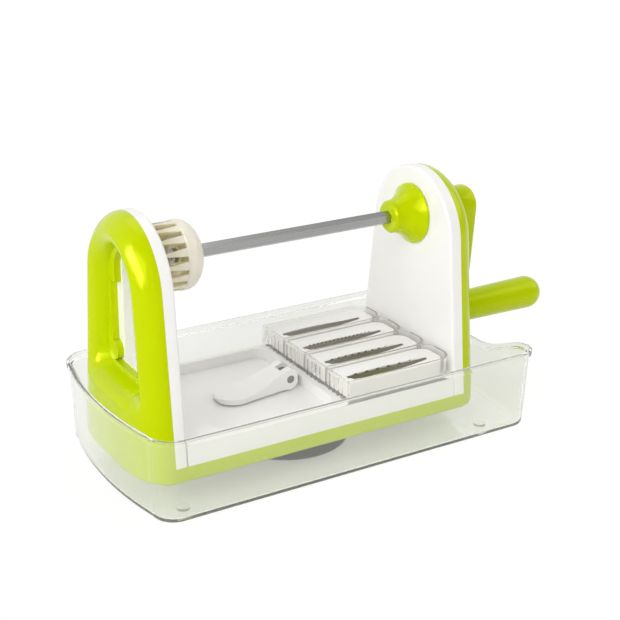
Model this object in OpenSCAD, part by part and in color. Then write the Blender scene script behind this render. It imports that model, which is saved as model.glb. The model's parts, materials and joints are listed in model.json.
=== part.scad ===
// Hand-cranked spiralizer that stands in a clear catch tray.
// X runs along the rod towards the crank, Y to the back, Z up from the tray's underside.
// X = 0 is midway between the towers and Y = 0 is the upright plane through the rod.

/* [Towers] */
// Distance between the seams of the two towers, where white meets green
tower_span = 200; // [192:1:230]
// Thickness of each white tower face
face_t = 7.6; // [6:0.2:9]
// Half width of the towers where they stand on the base
tower_half_w = 52.4; // [50:0.2:58]
// Radius of the arch on top of the towers
arch_r = 41.4; // [39:0.2:45]
// Height of the centre of that arch
arch_z = 119.9; // [116:0.5:130]
// Depth of each green shell behind its seam
shell_depth = 18.5; // [17:0.5:24]
// Squareness of the green shells, where 2 is an ellipse
shell_power = 2.6; // [2:0.1:4]
// Rounding of the white faces' edges
face_round = 2; // [1:0.25:3]

/* [Blade window] */
// Thickness of the green panel round the blade window
panel_t = 4; // [3:0.5:6]
// Distance from the arch to the mouth's wall at the panel
mouth_inset = 20; // [18.5:0.5:22]
// How much the mouth widens from the panel to the outside, before its rim rolls over
mouth_flare = 5; // [3:0.5:7]
// How far the mouth's rim rolls over into the outside of the shell
mouth_roll = 5.5; // [3:0.5:7]
// Radius of the mouth's lower corners
mouth_corner = 9; // [4:0.5:10]
// Height of the mouth's floor at the panel
mouth_floor = 64; // [60:0.5:65]
// How far the mouth's floor falls towards the outside
mouth_fall = 5; // [2:0.5:8]
// Half width of the lower part of the green window
window_half_w = 20; // [18:0.5:22]
// Half width of the upper part of the green window
window_top_half_w = 14; // [10:0.5:15]
// Height of the lower edge of the green window
window_low = 66.5; // [66:0.5:70]
// Height where the green window narrows
window_step = 116; // [105:1:120]
// Radius of the two latch tabs at the foot of the green window
latch_r = 6; // [3:0.5:7]

/* [Base] */
// Height of the underside of the green pan
base_z = 15.5; // [14:0.5:18]
// Height where the green pan meets the white bed and the towers
split_z = 26; // [24:0.5:28]
// Height of the bed's upper side
bed_z = 40; // [38:0.5:44]
// Wall and floor of the pan
pan_wall = 3; // [2:0.25:4]
// Rounding of the pan's lower edge
pan_round = 3; // [1:0.5:4]
// Rounding of the bed's long upper edges
bed_round = 3; // [1:0.5:3.5]
// Depth of the recess in the bed
recess_depth = 7; // [6:0.25:8]
// Distance from the blade tower to the recess
recess_start = 22; // [16:0.5:30]
// Distance from the recess to the blade box
recess_box_gap = 4.8; // [3:0.2:8]
// Half width of the recess
recess_half_w = 46; // [30:0.5:47]
// Corner radius of the recess
recess_round = 7; // [2:0.5:12]
// Distance of the feet from the middle, along X
foot_x = 88; // [70:1:95]
// Distance of the feet from the middle, along Y
foot_y = 16; // [12:1:42]
// Radius of the legs moulded under the pan
leg_r = 7; // [5:0.5:9]
// Height of the rubber feet
foot_h = 3; // [2:0.5:5]

/* [Drive] */
// Height of the rod's axis
axis_z = 131.4; // [128:0.2:134]
// Rod size across its flats
rod_af = 7.4; // [6:0.1:9]
// Outer radius of the sleeve's tube
sleeve_r = 9; // [7.5:0.25:10]
// Radius of the bell's rim
bell_r = 19; // [15:0.5:22]
// Radius of the bell's nose
nose_r = 10.2; // [9.5:0.1:12]
// Length of the bell
bell_len = 18; // [14:0.5:22]
// Length of the sleeve's rear bearing in the green shell
bearing_len = 9; // [6:0.5:11]
// Radius of the clip that keeps the sleeve in place
clip_r = 12; // [11:0.25:14]
// Thickness of that clip
clip_t = 1.8; // [1:0.1:2.5]

/* [Food holder] */
// Radius of the holder
holder_r = 20.6; // [18:0.2:26]
// Wall of the holder
holder_wall = 2.2; // [1.6:0.1:3]
// Length of the holder's dome
dome_len = 11.5; // [10:0.5:16]
// Length of the ring between the dome and the teeth
skirt_len = 3; // [2:0.5:6]
// Length of the teeth
tooth_len = 15; // [10:0.5:18]
// Number of teeth
tooth_count = 16; // [8:1:18]
// Width of a tooth at its root
tooth_w = 5; // [3:0.25:5.5]
// Width of a tooth at its tip
tooth_tip_w = 1.4; // [1:0.1:2.5]
// Radial thickness of a tooth at its root
tooth_t = 3; // [2.4:0.2:4]
// Radial thickness of a tooth at its tip
tooth_tip_t = 1.2; // [0.8:0.1:2]
// Radius of the hub in the holder
hub_r = 6.4; // [6:0.1:8]
// Gap between the teeth and the white face of the blade tower
tooth_gap = 4.4; // [2:0.2:8]

/* [Crank] */
// Distance from the rod's axis to the grip's axis
crank_len = 71.6; // [68:0.2:75]
// Gap between the drive tower and the crank arm
crank_gap = 2; // [1:0.25:4]
// Radius of the arm's upper boss
crank_boss_r = 12.6; // [12:0.2:15]
// Thickness of the arm at its upper boss
crank_boss_t = 14; // [12:0.5:18]
// Radius of the arm's lower end
crank_end_r = 11; // [9:0.5:12]
// Thickness of the arm at its lower end
crank_end_t = 11; // [9:0.5:12]
// Gap between the crank arm and the grip
grip_gap = 1.2; // [1:0.1:2]
// Length of the grip
grip_len = 68; // [55:1:90]
// Radius of the grip next to the arm
grip_r = 10.1; // [8.5:0.1:11]
// Radius of the grip where its round end starts
grip_end_r = 10.9; // [9.5:0.1:12]
// Radius of the axle in the grip
axle_r = 4; // [3:0.25:5]

/* [Suction foot] */
// Radius of the suction cup
cup_r = 40; // [32:0.5:44]
// Thickness of the cup's skirt
cup_t = 2.6; // [2:0.1:4]
// Radius of the stem that pulls the cup
stem_r = 4; // [3.5:0.25:5]
// Radius of the lever's pin
pin_r = 2.5; // [2:0.1:3]
// Largest radius of the lever's cam
cam_r = 7; // [6:0.25:8]
// How much the cam pulls the stem up
cam_rise = 2.2; // [1:0.1:2.5]
// Length of the lever from its pin to its tip
lever_len = 48.2; // [42:0.2:56]
// Width of the lever's head
lever_head_w = 16; // [13:0.5:20]
// Width of the lever's paddle
lever_paddle_w = 24.4; // [18:0.2:30]
// Thickness of the lever's paddle
paddle_t = 3; // [2:0.25:4]
// Distance from the lever's pin to the recess's end at the blade box
lever_room = 8.8; // [8:0.2:12]

/* [Blade set] */
// Length of a blade carrier
carrier_l = 71.5; // [70:0.5:75.5]
// Width of a blade carrier
carrier_w = 23; // [20:0.25:24]
// Thickness of a blade carrier
carrier_t = 9; // [8:0.2:11]
// Corner radius at a carrier's far end
carrier_round = 8; // [4:0.5:9]
// Where the slot starts, from the carrier's near end
slot_start = 5; // [4:0.5:10]
// Where the slot's point lies, from the carrier's near end
slot_end = 63; // [60:0.5:66]
// Greatest width of the slot
slot_w = 8.6; // [6:0.2:9.4]
// Distance of the slot from the middle of its carrier
slot_shift = -4.5; // [-5:0.25:-2]
// Thickness of the steel of the blades
blade_t = 0.7; // [0.4:0.1:1]
// Width of a blade
blade_w = 7.5; // [6:0.25:8.5]
// Tilt of a blade, in degrees
blade_tilt = 18; // [10:1:24]
// Tooth pitch of the three combs
comb_pitch = [3, 5, 8]; // [2:0.5:10]
// Wall of the clear blade box
box_wall = 1.6; // [1.2:0.1:2]
// Height of the clear blade box
box_h = 12.6; // [11.6:0.1:15]
// Finger room between a carrier's far end and the box
box_end_gap = 2.5; // [1:0.25:3]
// Gap between the blade box and the drive tower
box_gap = 0.8; // [0.4:0.1:3]

/* [Tray] */
// Length of the tray from the blade tower's seam to its blade end
tray_left = 24.5; // [24:0.5:50]
// Length of the tray from the drive tower's seam to its crank end
tray_right = 50; // [42:0.5:70]
// Half width of the tray's walls at the rim
tray_half_w = 69.8; // [66:0.2:85]
// Height of the tray
tray_h = 52.9; // [48:0.1:54]
// Wall thickness of the tray
tray_wall = 2; // [1.5:0.1:3]
// How much each wall leans in from the rim to the floor
tray_draft = 2; // [1:0.2:4]
// Corner radius at the blade end of the tray
blade_corner = 16; // [12:0.5:24]
// Corner radius at the crank end of the tray
crank_corner = 11.5; // [11:0.5:24]
// How far the tray's ends bow out
tray_bow = 6; // [2:0.5:10]
// Rounding of the tray's lower edge
tray_round = 4; // [3:0.25:4.5]
// How far the lip round the rim stands out
lip_w = 1.5; // [1:0.1:2.5]
// Height of the lip round the rim
lip_h = 4.2; // [3:0.2:6]
// Depth of the dip in the crank end
dip_depth = 18.4; // [12:0.2:22]
// Half width of the flat part of the dip
dip_flat = 4; // [0:1:20]
// Half width of the whole dip
dip_half_w = 66; // [45:1:68]

/* [Hidden] */

$fn = 64;
lime = [0.77, 0.85, 0.02];
white = [0.95, 0.95, 0.93];
cream = [0.94, 0.92, 0.84];
steel = [0.72, 0.73, 0.75];
clear = [0.88, 0.9, 0.92, 0.4];
rubber = [0.3, 0.32, 0.34];

// Clearances, and the length by which a cut runs past a face
run_clear = 0.05;
press_clear = 0.03;
slide_clear = 0.1;
end_clear = 0.5;
loose_clear = 0.4;
cut = 1;

// Steps of the lofted and turned curves
arch_steps = 44;
shell_steps = 12;
mouth_steps = 6;
round_steps = 3;
turn_steps = 12;

// Towers
seam_x = tower_span / 2;
face_x = seam_x - face_t;
shell_x = seam_x + shell_depth;
foot_rise = arch_z - split_z;
lean = acos(arch_r / norm([tower_half_w, foot_rise])) - atan2(foot_rise, tower_half_w);
shell_last_angle = 86;
flare_power = 1.3;
roll_share = 0.45;
rim_over = 0.4;
mouth_sag = 0.8;
window_top_gap = 2;

// Drive line
bell_face_x = face_x - 3 * slide_clear;
bell_nose_x = bell_face_x - bell_len;
bell_lip_t = 1.5;
nose_round = 1.2;
sleeve_end_x = shell_x - 1;
clip_x = seam_x + bearing_len + 3 * slide_clear;
clip_groove = 1.2;
crank_x = shell_x + crank_gap;
arm_soft = 2;

// Screws at the rod's ends
screw_head_r = 4.2;
screw_head_t = 2.6;
screw_shank_r = 1.7;
screw_len = 12;
screw_hole_r = screw_shank_r + loose_clear / 2;
seat_t = 2.5;
rod_right_x = crank_x + crank_boss_t - screw_head_t - seat_t / 2;

// Food holder
tooth_tip_x = -face_x + tooth_gap;
tooth_root_x = tooth_tip_x + tooth_len;
tooth_inset = 0.6;
dome_x = tooth_root_x + skirt_len;
holder_back_x = dome_x + dome_len;
hub_x = tooth_root_x + 1;
rod_left_x = hub_x + seat_t;

// Grip
grip_x = crank_x + crank_end_t + grip_gap;
grip_z = axis_z - crank_len;
grip_edge = 1;
axle_seat = 2;
axle_x = crank_x + axle_seat;
axle_end_x = grip_x + grip_len - grip_end_r;
axle_head_r = axle_r + 1.5;
axle_head_t = 3;

// Suction foot
tray_floor = tray_wall;
tray_left_x = -seam_x - tray_left;
tray_right_x = seam_x + tray_right;
recess_z = bed_z - recess_depth;
recess_left = -face_x + recess_start;
bed_floor_t = 2.8;
bed_cavity_top = recess_z - bed_floor_t;
bed_wall = 5;
pin_z = recess_z + end_clear + cam_r;
fork_half_w = stem_r - 0.7;
eye_half_t = fork_half_w - 0.3;
plate_r = 2.2 * stem_r;
plate_t = 2;
cup_edge_w = 3;
cup_edge_t = 0.8;
cup_low = tray_floor + 0.3;
cup_top = base_z - 2;
cup_roof_t = 1.5;
cup_floor_t = 3;
plate_z = cup_top - plate_t - cup_roof_t;
cup_boss_low = plate_z - cup_floor_t;
cup_boss_r = plate_r + 4;

// Feet and screws of the base
peg_r = 2.5;
peg_len = 4;
foot_r = leg_r - tooth_inset;
post_x = 60;
post_y = 36;
post_r = 5;
shell_screw_x = seam_x + 7;
shell_screw_y = 18;
base_screw_r = 1.45;
base_screw_head_r = 3;
base_screw_head_t = 2.2;
base_screw_len = 10;
base_screw_z = base_z + end_clear;
pilot_top = base_screw_z + base_screw_head_t + base_screw_len + end_clear;
pan_inset = 4;
pan_corner = 8;

// Blade set
cell_pitch = carrier_w + 2 * loose_clear + box_wall;
box_right = face_x - box_gap;
box_left = box_right - carrier_l - box_end_gap - 2 * (loose_clear + box_wall);
carrier_x = box_left + box_wall + loose_clear;
recess_right = box_left - recess_box_gap;
pin_x = recess_right - lever_room;
carrier_z = bed_z + box_wall;
cells = 4;
cell_y = [for (i = [0:cells - 1]) ((cells - 1) / 2 - i) * cell_pitch];
slot_half_l = (slot_end - slot_start) * 0.63;
slot_lens_r = (pow(slot_half_l, 2) + pow(slot_w / 2, 2)) / slot_w;
slot_slant = 25;
seat_z = axis_z - slot_end;
blade_edge_rise = 0.5;
blade_overlap = 1.4;
comb_t = 0.8;
comb_shift = slot_w / 2 - 1.4;
comb_sink = 1.4;
comb_h = 4;
comb_point = 1.9;
comb_x0 = slot_start + 4;
comb_x1 = slot_end - 6;
rib_r = 0.9;
rib_count = 4;
rib_short = 2;

// Tray
lip_t = 1.4;
lip_bevel = 0.7;
boss_r = 4;
boss_h = 1.2;
boss_left_in = 27;
boss_right_in = 36.5;
boss_side_in = 15.5;
end_steps = 14;
corner_steps = 6;

// Half width of a tower at height z, drawn in by inset
function side_y(z, inset) = (arch_r - inset) / cos(lean) + (arch_z - z) * tan(lean);

// Arch outline in the YZ plane, with its foot at height low
function arch(inset, low) = concat(
    [[-side_y(low, inset), low], [side_y(low, inset), low]],
    [for (k = [0:arch_steps])
        let (a = lean + (180 - 2 * lean) * k / arch_steps)
        [(arch_r - inset) * cos(a), arch_z + (arch_r - inset) * sin(a)]]);

// Outline of the mouth in Y and Z, with round lower corners at height low and a floor that sags between them
function mouth_outline(inset, low) =
    let (centre_y = side_y(low + mouth_corner, inset + mouth_corner),
        corner = [for (k = [0:mouth_steps])
            let (a = -90 + (90 + lean) * k / mouth_steps)
            [centre_y + mouth_corner * cos(a), low + mouth_corner * (1 + sin(a))]],
        round_top = arch(inset, low))
    concat(
        [for (k = [1:mouth_steps - 1])
            let (t = 2 * k / mouth_steps - 1)
            [centre_y * t, low - mouth_sag * (1 - t * t)]],
        corner,
        [for (k = [2:len(round_top) - 1]) round_top[k]],
        [for (k = [mouth_steps:-1:0]) [-corner[k][0], corner[k][1]]]);

// X of the outside of the green shell at a point in Y and Z
function shell_out_x(p) =
    let (rise = p[1] - arch_z,
        out = atan2(rise, abs(p[0])) > lean
            ? norm([p[0], rise]) : abs(p[0]) * cos(lean) + rise * sin(lean),
        share = sqrt(1 - pow(max(0, out / arch_r), shell_power)))
    seam_x + shell_depth * min(share, sin(shell_last_angle));

// An outline in Y and Z as a ring of points at x
function ring_x(x, outline) = [for (p = outline) [x, p[0], p[1]]];

// Share of the shell's depth at step k, and the inset of its outline there
function shell_share(k) = sin(shell_last_angle * k / shell_steps);
function shell_inset(k) = arch_r * (1 - pow(1 - pow(shell_share(k), 2), 1 / shell_power));

// Quarter turn in equal steps, in degrees
function quarter(steps) = [for (k = [0:steps]) 90 * k / steps];

// Closed solid through rings of equal point counts, with a flat cap on the first and the last
module loft(rings) {
    n = len(rings[0]);
    last = len(rings) - 1;
    sides = [for (i = [0:last - 1]) for (j = [0:n - 1])
        let (a = i * n + j, b = i * n + (j + 1) % n)
        each [[a, a + n, b + n], [a, b + n, b]]];
    polyhedron(
        points = [for (r = rings) each r],
        faces = concat([[for (j = [0:n - 1]) j]], sides, [[for (j = [n - 1:-1:0]) last * n + j]]));
}

// Children's Z axis laid along X, starting at x on the rod's axis
module on_axis(x, z = axis_z) {
    translate([x, 0, z]) rotate([0, 90, 0]) children();
}

// A flat outline in Y and Z, extruded along X
module along_x(x, length) {
    translate([x, 0, 0]) rotate([90, 0, 90]) linear_extrude(length) children();
}

// Children's Z axis laid along -Y through the lever's pin, over a width centred on the rod's plane
module across_pin(width) {
    translate([pin_x, width / 2, pin_z]) rotate([90, 0, 0]) children();
}

// Children at each of the four mirrored spots x and y from the middle
module at_corners(x, y) {
    for (sx = [-1, 1], sy = [-1, 1]) translate([sx * x, sy * y, 0]) children();
}

// Rectangle with four round corners, centred on Y
module rounded_outline(x0, x1, half_w, r) {
    translate([x0 + r, -half_w]) square([x1 - x0 - 2 * r, 2 * half_w]);
    translate([x0, -half_w + r]) square([x1 - x0, 2 * half_w - 2 * r]);
    for (x = [x0 + r, x1 - r], y = [-half_w + r, half_w - r]) translate([x, y]) circle(r);
}

// Cross-head screw with its head's upper side at the origin and its shank along -Z
module screw(head_r, head_t, shank_r, length) {
    arm_l = head_r * 1.2;
    arm_w = head_r * 0.2;
    difference() {
        translate([0, 0, -head_t]) cylinder(r = head_r, h = head_t);
        for (a = [0, 90]) rotate(a)
            translate([-arm_l / 2, -arm_w / 2, -head_t / 2]) cube([arm_l, arm_w, head_t]);
    }
    translate([0, 0, -head_t - length]) cylinder(r = shank_r, h = length);
}

// Green shell of a tower on the drive side, before its cuts
module shell_body() {
    loft([for (k = [0:shell_steps])
        ring_x(seam_x + shell_depth * shell_share(k), arch(shell_inset(k), split_z))]);
}

// White face of a tower on the drive side, before its cuts, with a round inner edge
module face_body() {
    loft(concat(
        [for (a = quarter(round_steps))
            ring_x(face_x + face_round * (1 - cos(a)), arch(face_round * (1 - sin(a)), split_z))],
        [ring_x(seam_x, arch(0, split_z))]));
}

// Flared mouth through the green shell, from the panel to past the outside, with a rim that rolls over
module mouth() {
    start_x = seam_x + panel_t;
    rim = mouth_outline(mouth_inset - mouth_flare - mouth_roll, mouth_floor - mouth_fall - mouth_roll);
    depth = [for (p = rim) shell_out_x(p) + rim_over - start_x];
    stages = concat(
        [for (k = [0:mouth_steps - 1]) [(1 - roll_share) * k / mouth_steps, 0]],
        [for (a = quarter(mouth_steps)) [1 - roll_share * (1 - sin(a)), mouth_roll * (1 - cos(a))]]);
    loft(concat(
        [for (s = stages)
            let (line = mouth_outline(
                mouth_inset - mouth_flare * pow(s[0], flare_power) - s[1],
                mouth_floor - mouth_fall * s[0] - s[1]))
            [for (j = [0:len(rim) - 1]) [start_x + depth[j] * s[0], line[j][0], line[j][1]]]],
        [ring_x(shell_x + cut, rim)]));
}

// Green window through the panel: wide below, narrow above, with a latch tab at each lower corner
module window_outline() {
    top_z = arch_z + arch_r - mouth_inset - window_top_gap - window_top_half_w;
    difference() {
        translate([-window_half_w, window_low]) square([2 * window_half_w, window_step - window_low]);
        for (s = [-1, 1]) translate([s * window_half_w, window_low + latch_r]) circle(latch_r);
    }
    translate([-window_top_half_w, window_step - cut])
        square([2 * window_top_half_w, top_z - window_step + cut]);
    translate([0, top_z]) circle(window_top_half_w);
}

// Outline of a blade carrier from its near end along X, grown by a clearance
module carrier_outline(grow) {
    r = carrier_round + grow;
    half_w = carrier_w / 2 + grow;
    translate([-grow, -half_w]) square([carrier_l + 2 * grow - r, 2 * half_w]);
    translate([0, -half_w + r]) square([carrier_l + grow, 2 * half_w - 2 * r]);
    for (s = [-1, 1]) translate([carrier_l + grow - r, s * (half_w - r)]) circle(r);
}

// Outline of a well in the blade box: a carrier's, with finger room at its far end
module well_outline(grow) {
    carrier_outline(grow);
    translate([box_end_gap, 0]) carrier_outline(grow);
}

// Leaf-shaped slot: a lens with its point at the far end and a slanted near end
module slot_outline() {
    difference() {
        translate([slot_end - slot_half_l, slot_shift])
            intersection_for (s = [-1, 1])
                translate([0, s * (slot_lens_r - slot_w / 2)]) circle(slot_lens_r, $fn = 256);
        translate([slot_start, slot_shift]) rotate(slot_slant)
            translate([-2 * slot_end, -slot_end]) square(2 * slot_end);
    }
}

// Tilted steel strip of a blade, with its edge over the slot
module blade_strip(grow) {
    translate([slot_start - cut - grow, slot_shift + blade_overlap, carrier_t + blade_edge_rise])
        rotate([blade_tilt, 0, 0])
            translate([0, -blade_w - grow, -blade_t - grow])
                cube([slot_end - slot_start + 2 * grow, blade_w + 2 * grow, blade_t + 2 * grow]);
}

// Comb plate with pointed teeth that stand out of the carrier
module comb_plate(pitch, grow) {
    top = carrier_t - comb_sink + grow;
    low = carrier_t - comb_sink - comb_h - grow;
    point_w = pitch * 0.6;
    translate([0, slot_shift + comb_shift + comb_t + grow, 0]) rotate([90, 0, 0])
        linear_extrude(comb_t + 2 * grow) {
            translate([comb_x0 - grow, low]) square([comb_x1 - comb_x0 + 2 * grow, top - low]);
            for (x = [comb_x0:pitch:comb_x1 - pitch])
                translate([x, top - grow])
                    polygon([[0, -grow], [point_w, -grow], [point_w, 0], [point_w / 2, comb_point], [0, 0]]);
        }
}

// Groove in a carrier that takes a comb
module comb_slot(pitch) {
    comb_plate(pitch, press_clear);
    translate([comb_x0, slot_shift + comb_shift - press_clear, carrier_t - comb_sink])
        cube([comb_x1 - comb_x0, comb_t + 2 * press_clear, comb_sink + cut]);
}

// Places children at a carrier's spot in the blade box
module at_cell(i) {
    translate([carrier_x, cell_y[i], carrier_z]) children();
}

module blade_carrier(i) {
    color(white) at_cell(i) difference() {
        linear_extrude(carrier_t) carrier_outline(0);
        translate([0, 0, -cut]) linear_extrude(carrier_t + 2 * cut) slot_outline();
        blade_strip(press_clear);
        if (i > 0) comb_slot(comb_pitch[i - 1]);
    }
}

module blade(i) {
    color(steel) at_cell(i) blade_strip(0);
}

module comb(i) {
    color(steel) at_cell(i) comb_plate(comb_pitch[i - 1], 0);
}

// Clear box with four wells, round at the drive end, with finger ribs on the other end
module blade_box() {
    rib_pitch = carrier_w / (rib_count + 1);
    color(clear) difference() {
        for (y = cell_y) translate([carrier_x, y, bed_z]) {
            linear_extrude(box_h) well_outline(loose_clear + box_wall);
            for (k = [0:rib_count - 1])
                translate([-loose_clear - box_wall, (k - (rib_count - 1) / 2) * rib_pitch, 0])
                    cylinder(r = rib_r, h = box_h - rib_short, $fn = 24);
        }
        for (y = cell_y)
            translate([carrier_x, y, carrier_z]) linear_extrude(box_h) well_outline(loose_clear);
    }
}

// Skeleton of the tray's plan: corner centres and end points, each with its outward direction and radius
function tray_skeleton() =
    let (right_x = tray_right_x - tray_bow - crank_corner,
        right_y = tray_half_w - crank_corner,
        left_x = tray_left_x + tray_bow + blade_corner,
        left_y = tray_half_w - blade_corner,
        turn = quarter(corner_steps),
        span = [for (j = [1:end_steps - 1]) 2 * j / end_steps - 1])
    concat(
        [for (t = span) [right_x + tray_bow * (1 - t * t), right_y * t, 1, 0, crank_corner]],
        [for (a = turn) [right_x, right_y, cos(a), sin(a), crank_corner]],
        [for (a = turn) [left_x, left_y, -sin(a), cos(a), blade_corner]],
        [for (t = span) [left_x - tray_bow * (1 - t * t), -left_y * t, -1, 0, blade_corner]],
        [for (a = turn) [left_x, -left_y, -cos(a), -sin(a), blade_corner]],
        [for (a = turn) [right_x, -right_y, sin(a), -cos(a), crank_corner]]);

// Height of the rim at a skeleton point: it dips in a smooth curve at the crank end
function rim_z(p) =
    let (y = abs(p[1] + p[4] * p[3]),
        t = min(1, max(0, (y - dip_flat) / (dip_half_w - dip_flat))))
    tray_h - (p[0] > 0 ? dip_depth * (1 + cos(180 * t)) / 2 : 0);

// Ring of tray points at a height, or at a drop below the rim, moved in from the outer wall
function tray_ring(height, drop, move_in) = [for (p = tray_skeleton())
    let (z = is_undef(height) ? rim_z(p) - drop : height,
        r = p[4] - tray_draft * (1 - z / tray_h) - move_in)
    [p[0] + r * p[2], p[1] + r * p[3], z]];

// Clear tray: a rounded floor edge, drafted walls and a stepped lip, lofted out, over the rim and down inside
module tray() {
    edge = quarter(round_steps);
    inner_round = tray_round - tray_wall / 2;
    lip_in = tray_wall - lip_w;
    color(clear) {
        loft(concat(
            [for (a = edge) tray_ring(tray_round * (1 - cos(a)), 0, tray_round * (1 - sin(a)))],
            [tray_ring(undef, lip_h, 0), tray_ring(undef, lip_h - lip_bevel, -lip_w)],
            [tray_ring(undef, lip_bevel, -lip_w), tray_ring(undef, 0, lip_bevel - lip_w)],
            [tray_ring(undef, 0, lip_in), tray_ring(undef, lip_h - lip_t - lip_bevel, lip_in)],
            [tray_ring(undef, lip_h - lip_t, tray_wall)],
            [for (k = [round_steps:-1:0])
                let (rise = inner_round * (1 - cos(edge[k])), run = inner_round * (1 - sin(edge[k])))
                tray_ring(tray_floor + rise, 0, tray_wall + run)]));
        for (x = [tray_left_x + boss_left_in, tray_right_x - boss_right_in], s = [-1, 1])
            translate([x, s * (tray_half_w - boss_side_in), tray_floor / 2])
                cylinder(r = boss_r, h = tray_floor / 2 + boss_h);
    }
}

// Plan of the base at its top, as a ring at height z, drawn in by inset
function pan_ring(z, inset) =
    let (keep_y = 1 - inset / tower_half_w,
        keep_x = 1 - inset / shell_x,
        out = [for (k = [0:shell_steps])
            [(seam_x + shell_depth * shell_share(k)) * keep_x, side_y(split_z, shell_inset(k)) * keep_y]],
        back = [for (k = [shell_steps:-1:0]) out[k]])
    concat(
        [for (p = out) [p[0], -p[1], z]],
        [for (p = back) [p[0], p[1], z]],
        [for (p = out) [-p[0], p[1], z]],
        [for (p = back) [-p[0], -p[1], z]]);

// Places children at every screw of the base
module at_base_screws() {
    at_corners(post_x, post_y) children();
    at_corners(shell_screw_x, shell_screw_y) children();
}

// Pilot holes for the base screws
module pilot_holes() {
    at_base_screws() translate([0, 0, split_z - cut])
        cylinder(r = base_screw_r + press_clear, h = pilot_top - split_z + cut);
}

// Green pan with posts for the screws and a leg over each foot
module base_pan() {
    floor_mid = base_z + pan_wall / 2;
    leg_low = tray_floor + foot_h;
    well_x = face_x - pan_inset;
    well_y = tower_half_w - pan_inset;
    head_top = base_screw_z + base_screw_head_t;
    color(lime) difference() {
        union() {
            difference() {
                loft(concat(
                    [for (a = quarter(round_steps))
                        pan_ring(base_z + pan_round * (1 - cos(a)), pan_round * (1 - sin(a)))],
                    [pan_ring(split_z, 0)]));
                translate([0, 0, base_z + pan_wall]) linear_extrude(split_z)
                    rounded_outline(-well_x, well_x, well_y, pan_corner);
            }
            at_corners(post_x, post_y) translate([0, 0, floor_mid])
                cylinder(r = post_r, h = split_z - floor_mid);
            at_corners(foot_x, foot_y) translate([0, 0, leg_low])
                cylinder(r = leg_r, h = floor_mid - leg_low);
        }
        at_base_screws() {
            translate([0, 0, base_z - cut])
                cylinder(r = base_screw_head_r + loose_clear, h = head_top - base_z + cut);
            translate([0, 0, base_z]) cylinder(r = base_screw_r + loose_clear / 2, h = split_z);
        }
        at_corners(foot_x, foot_y) translate([0, 0, tray_floor])
            cylinder(r = peg_r + press_clear, h = foot_h + peg_len + end_clear);
        translate([pin_x, 0, base_z - cut]) cylinder(r = stem_r + loose_clear, h = pan_wall + 2 * cut);
    }
}

// Four rubber feet, each with a peg in its leg
module base_feet() {
    color(rubber) at_corners(foot_x, foot_y) {
        translate([0, 0, tray_floor]) cylinder(r = foot_r, h = foot_h);
        translate([0, 0, tray_floor + foot_h / 2]) cylinder(r = peg_r, h = foot_h / 2 + peg_len);
    }
}

module base_screws() {
    color(steel) at_base_screws() translate([0, 0, base_screw_z]) mirror([0, 0, 1])
        screw(base_screw_head_r, base_screw_head_t, base_screw_r, base_screw_len);
}

// Cross-section of the bed in Y and Z, with round upper edges
module bed_section() {
    round_y = side_y(bed_z - bed_round, bed_round);
    edge = [for (k = [0:turn_steps])
        let (a = lean + (90 - lean) * k / turn_steps)
        [round_y + bed_round * cos(a), bed_z - bed_round + bed_round * sin(a)]];
    foot_y = side_y(split_z, 0);
    polygon(concat(
        [[-foot_y, split_z], [foot_y, split_z]],
        edge,
        [for (k = [turn_steps:-1:0]) [-edge[k][0], edge[k][1]]]));
}

// White bed: a deep recess for the lever, whose floor carries the cam, over a hollow underside
module bed_plate() {
    hollow_half_w = side_y(bed_z, bed_wall);
    color(white) difference() {
        union() {
            difference() {
                along_x(-face_x, 2 * face_x) bed_section();
                translate([-face_x + bed_wall, -hollow_half_w, split_z - cut])
                    cube([2 * face_x - 2 * bed_wall, 2 * hollow_half_w, bed_cavity_top - split_z + cut]);
            }
            at_corners(post_x, post_y) translate([0, 0, split_z])
                cylinder(r = post_r, h = bed_cavity_top - split_z + cut);
        }
        translate([0, 0, recess_z]) linear_extrude(bed_z)
            rounded_outline(recess_left, recess_right, recess_half_w, recess_round);
        translate([pin_x, 0, split_z]) cylinder(r = stem_r + run_clear, h = bed_z);
        pilot_holes();
    }
}

module blade_tower_face() {
    color(white) difference() {
        mirror([1, 0, 0]) face_body();
        along_x(-seam_x - cut, face_t + 2 * cut)
            translate([0, seat_z]) rotate(90) carrier_outline(loose_clear);
    }
}

module blade_tower_shell() {
    color(lime) difference() {
        mirror([1, 0, 0]) difference() {
            shell_body();
            mouth();
        }
        along_x(-seam_x - panel_t - cut, panel_t + 2 * cut) window_outline();
        pilot_holes();
    }
}

module drive_tower_face() {
    color(white) difference() {
        face_body();
        on_axis(face_x - cut) cylinder(r = sleeve_r + run_clear, h = face_t + 2 * cut);
    }
}

module drive_tower_shell() {
    color(lime) difference() {
        shell_body();
        on_axis(seam_x - cut) cylinder(r = sleeve_r + run_clear, h = shell_depth);
        on_axis(seam_x + bearing_len) cylinder(r = clip_r + loose_clear, h = shell_depth);
        pilot_holes();
    }
}

// Hexagonal prism along X that fits the rod with a clearance
module hex_along(x0, x1, grow) {
    on_axis(x0) cylinder(r = (rod_af / 2 + grow) / cos(30), h = x1 - x0, $fn = 6);
}

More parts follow.
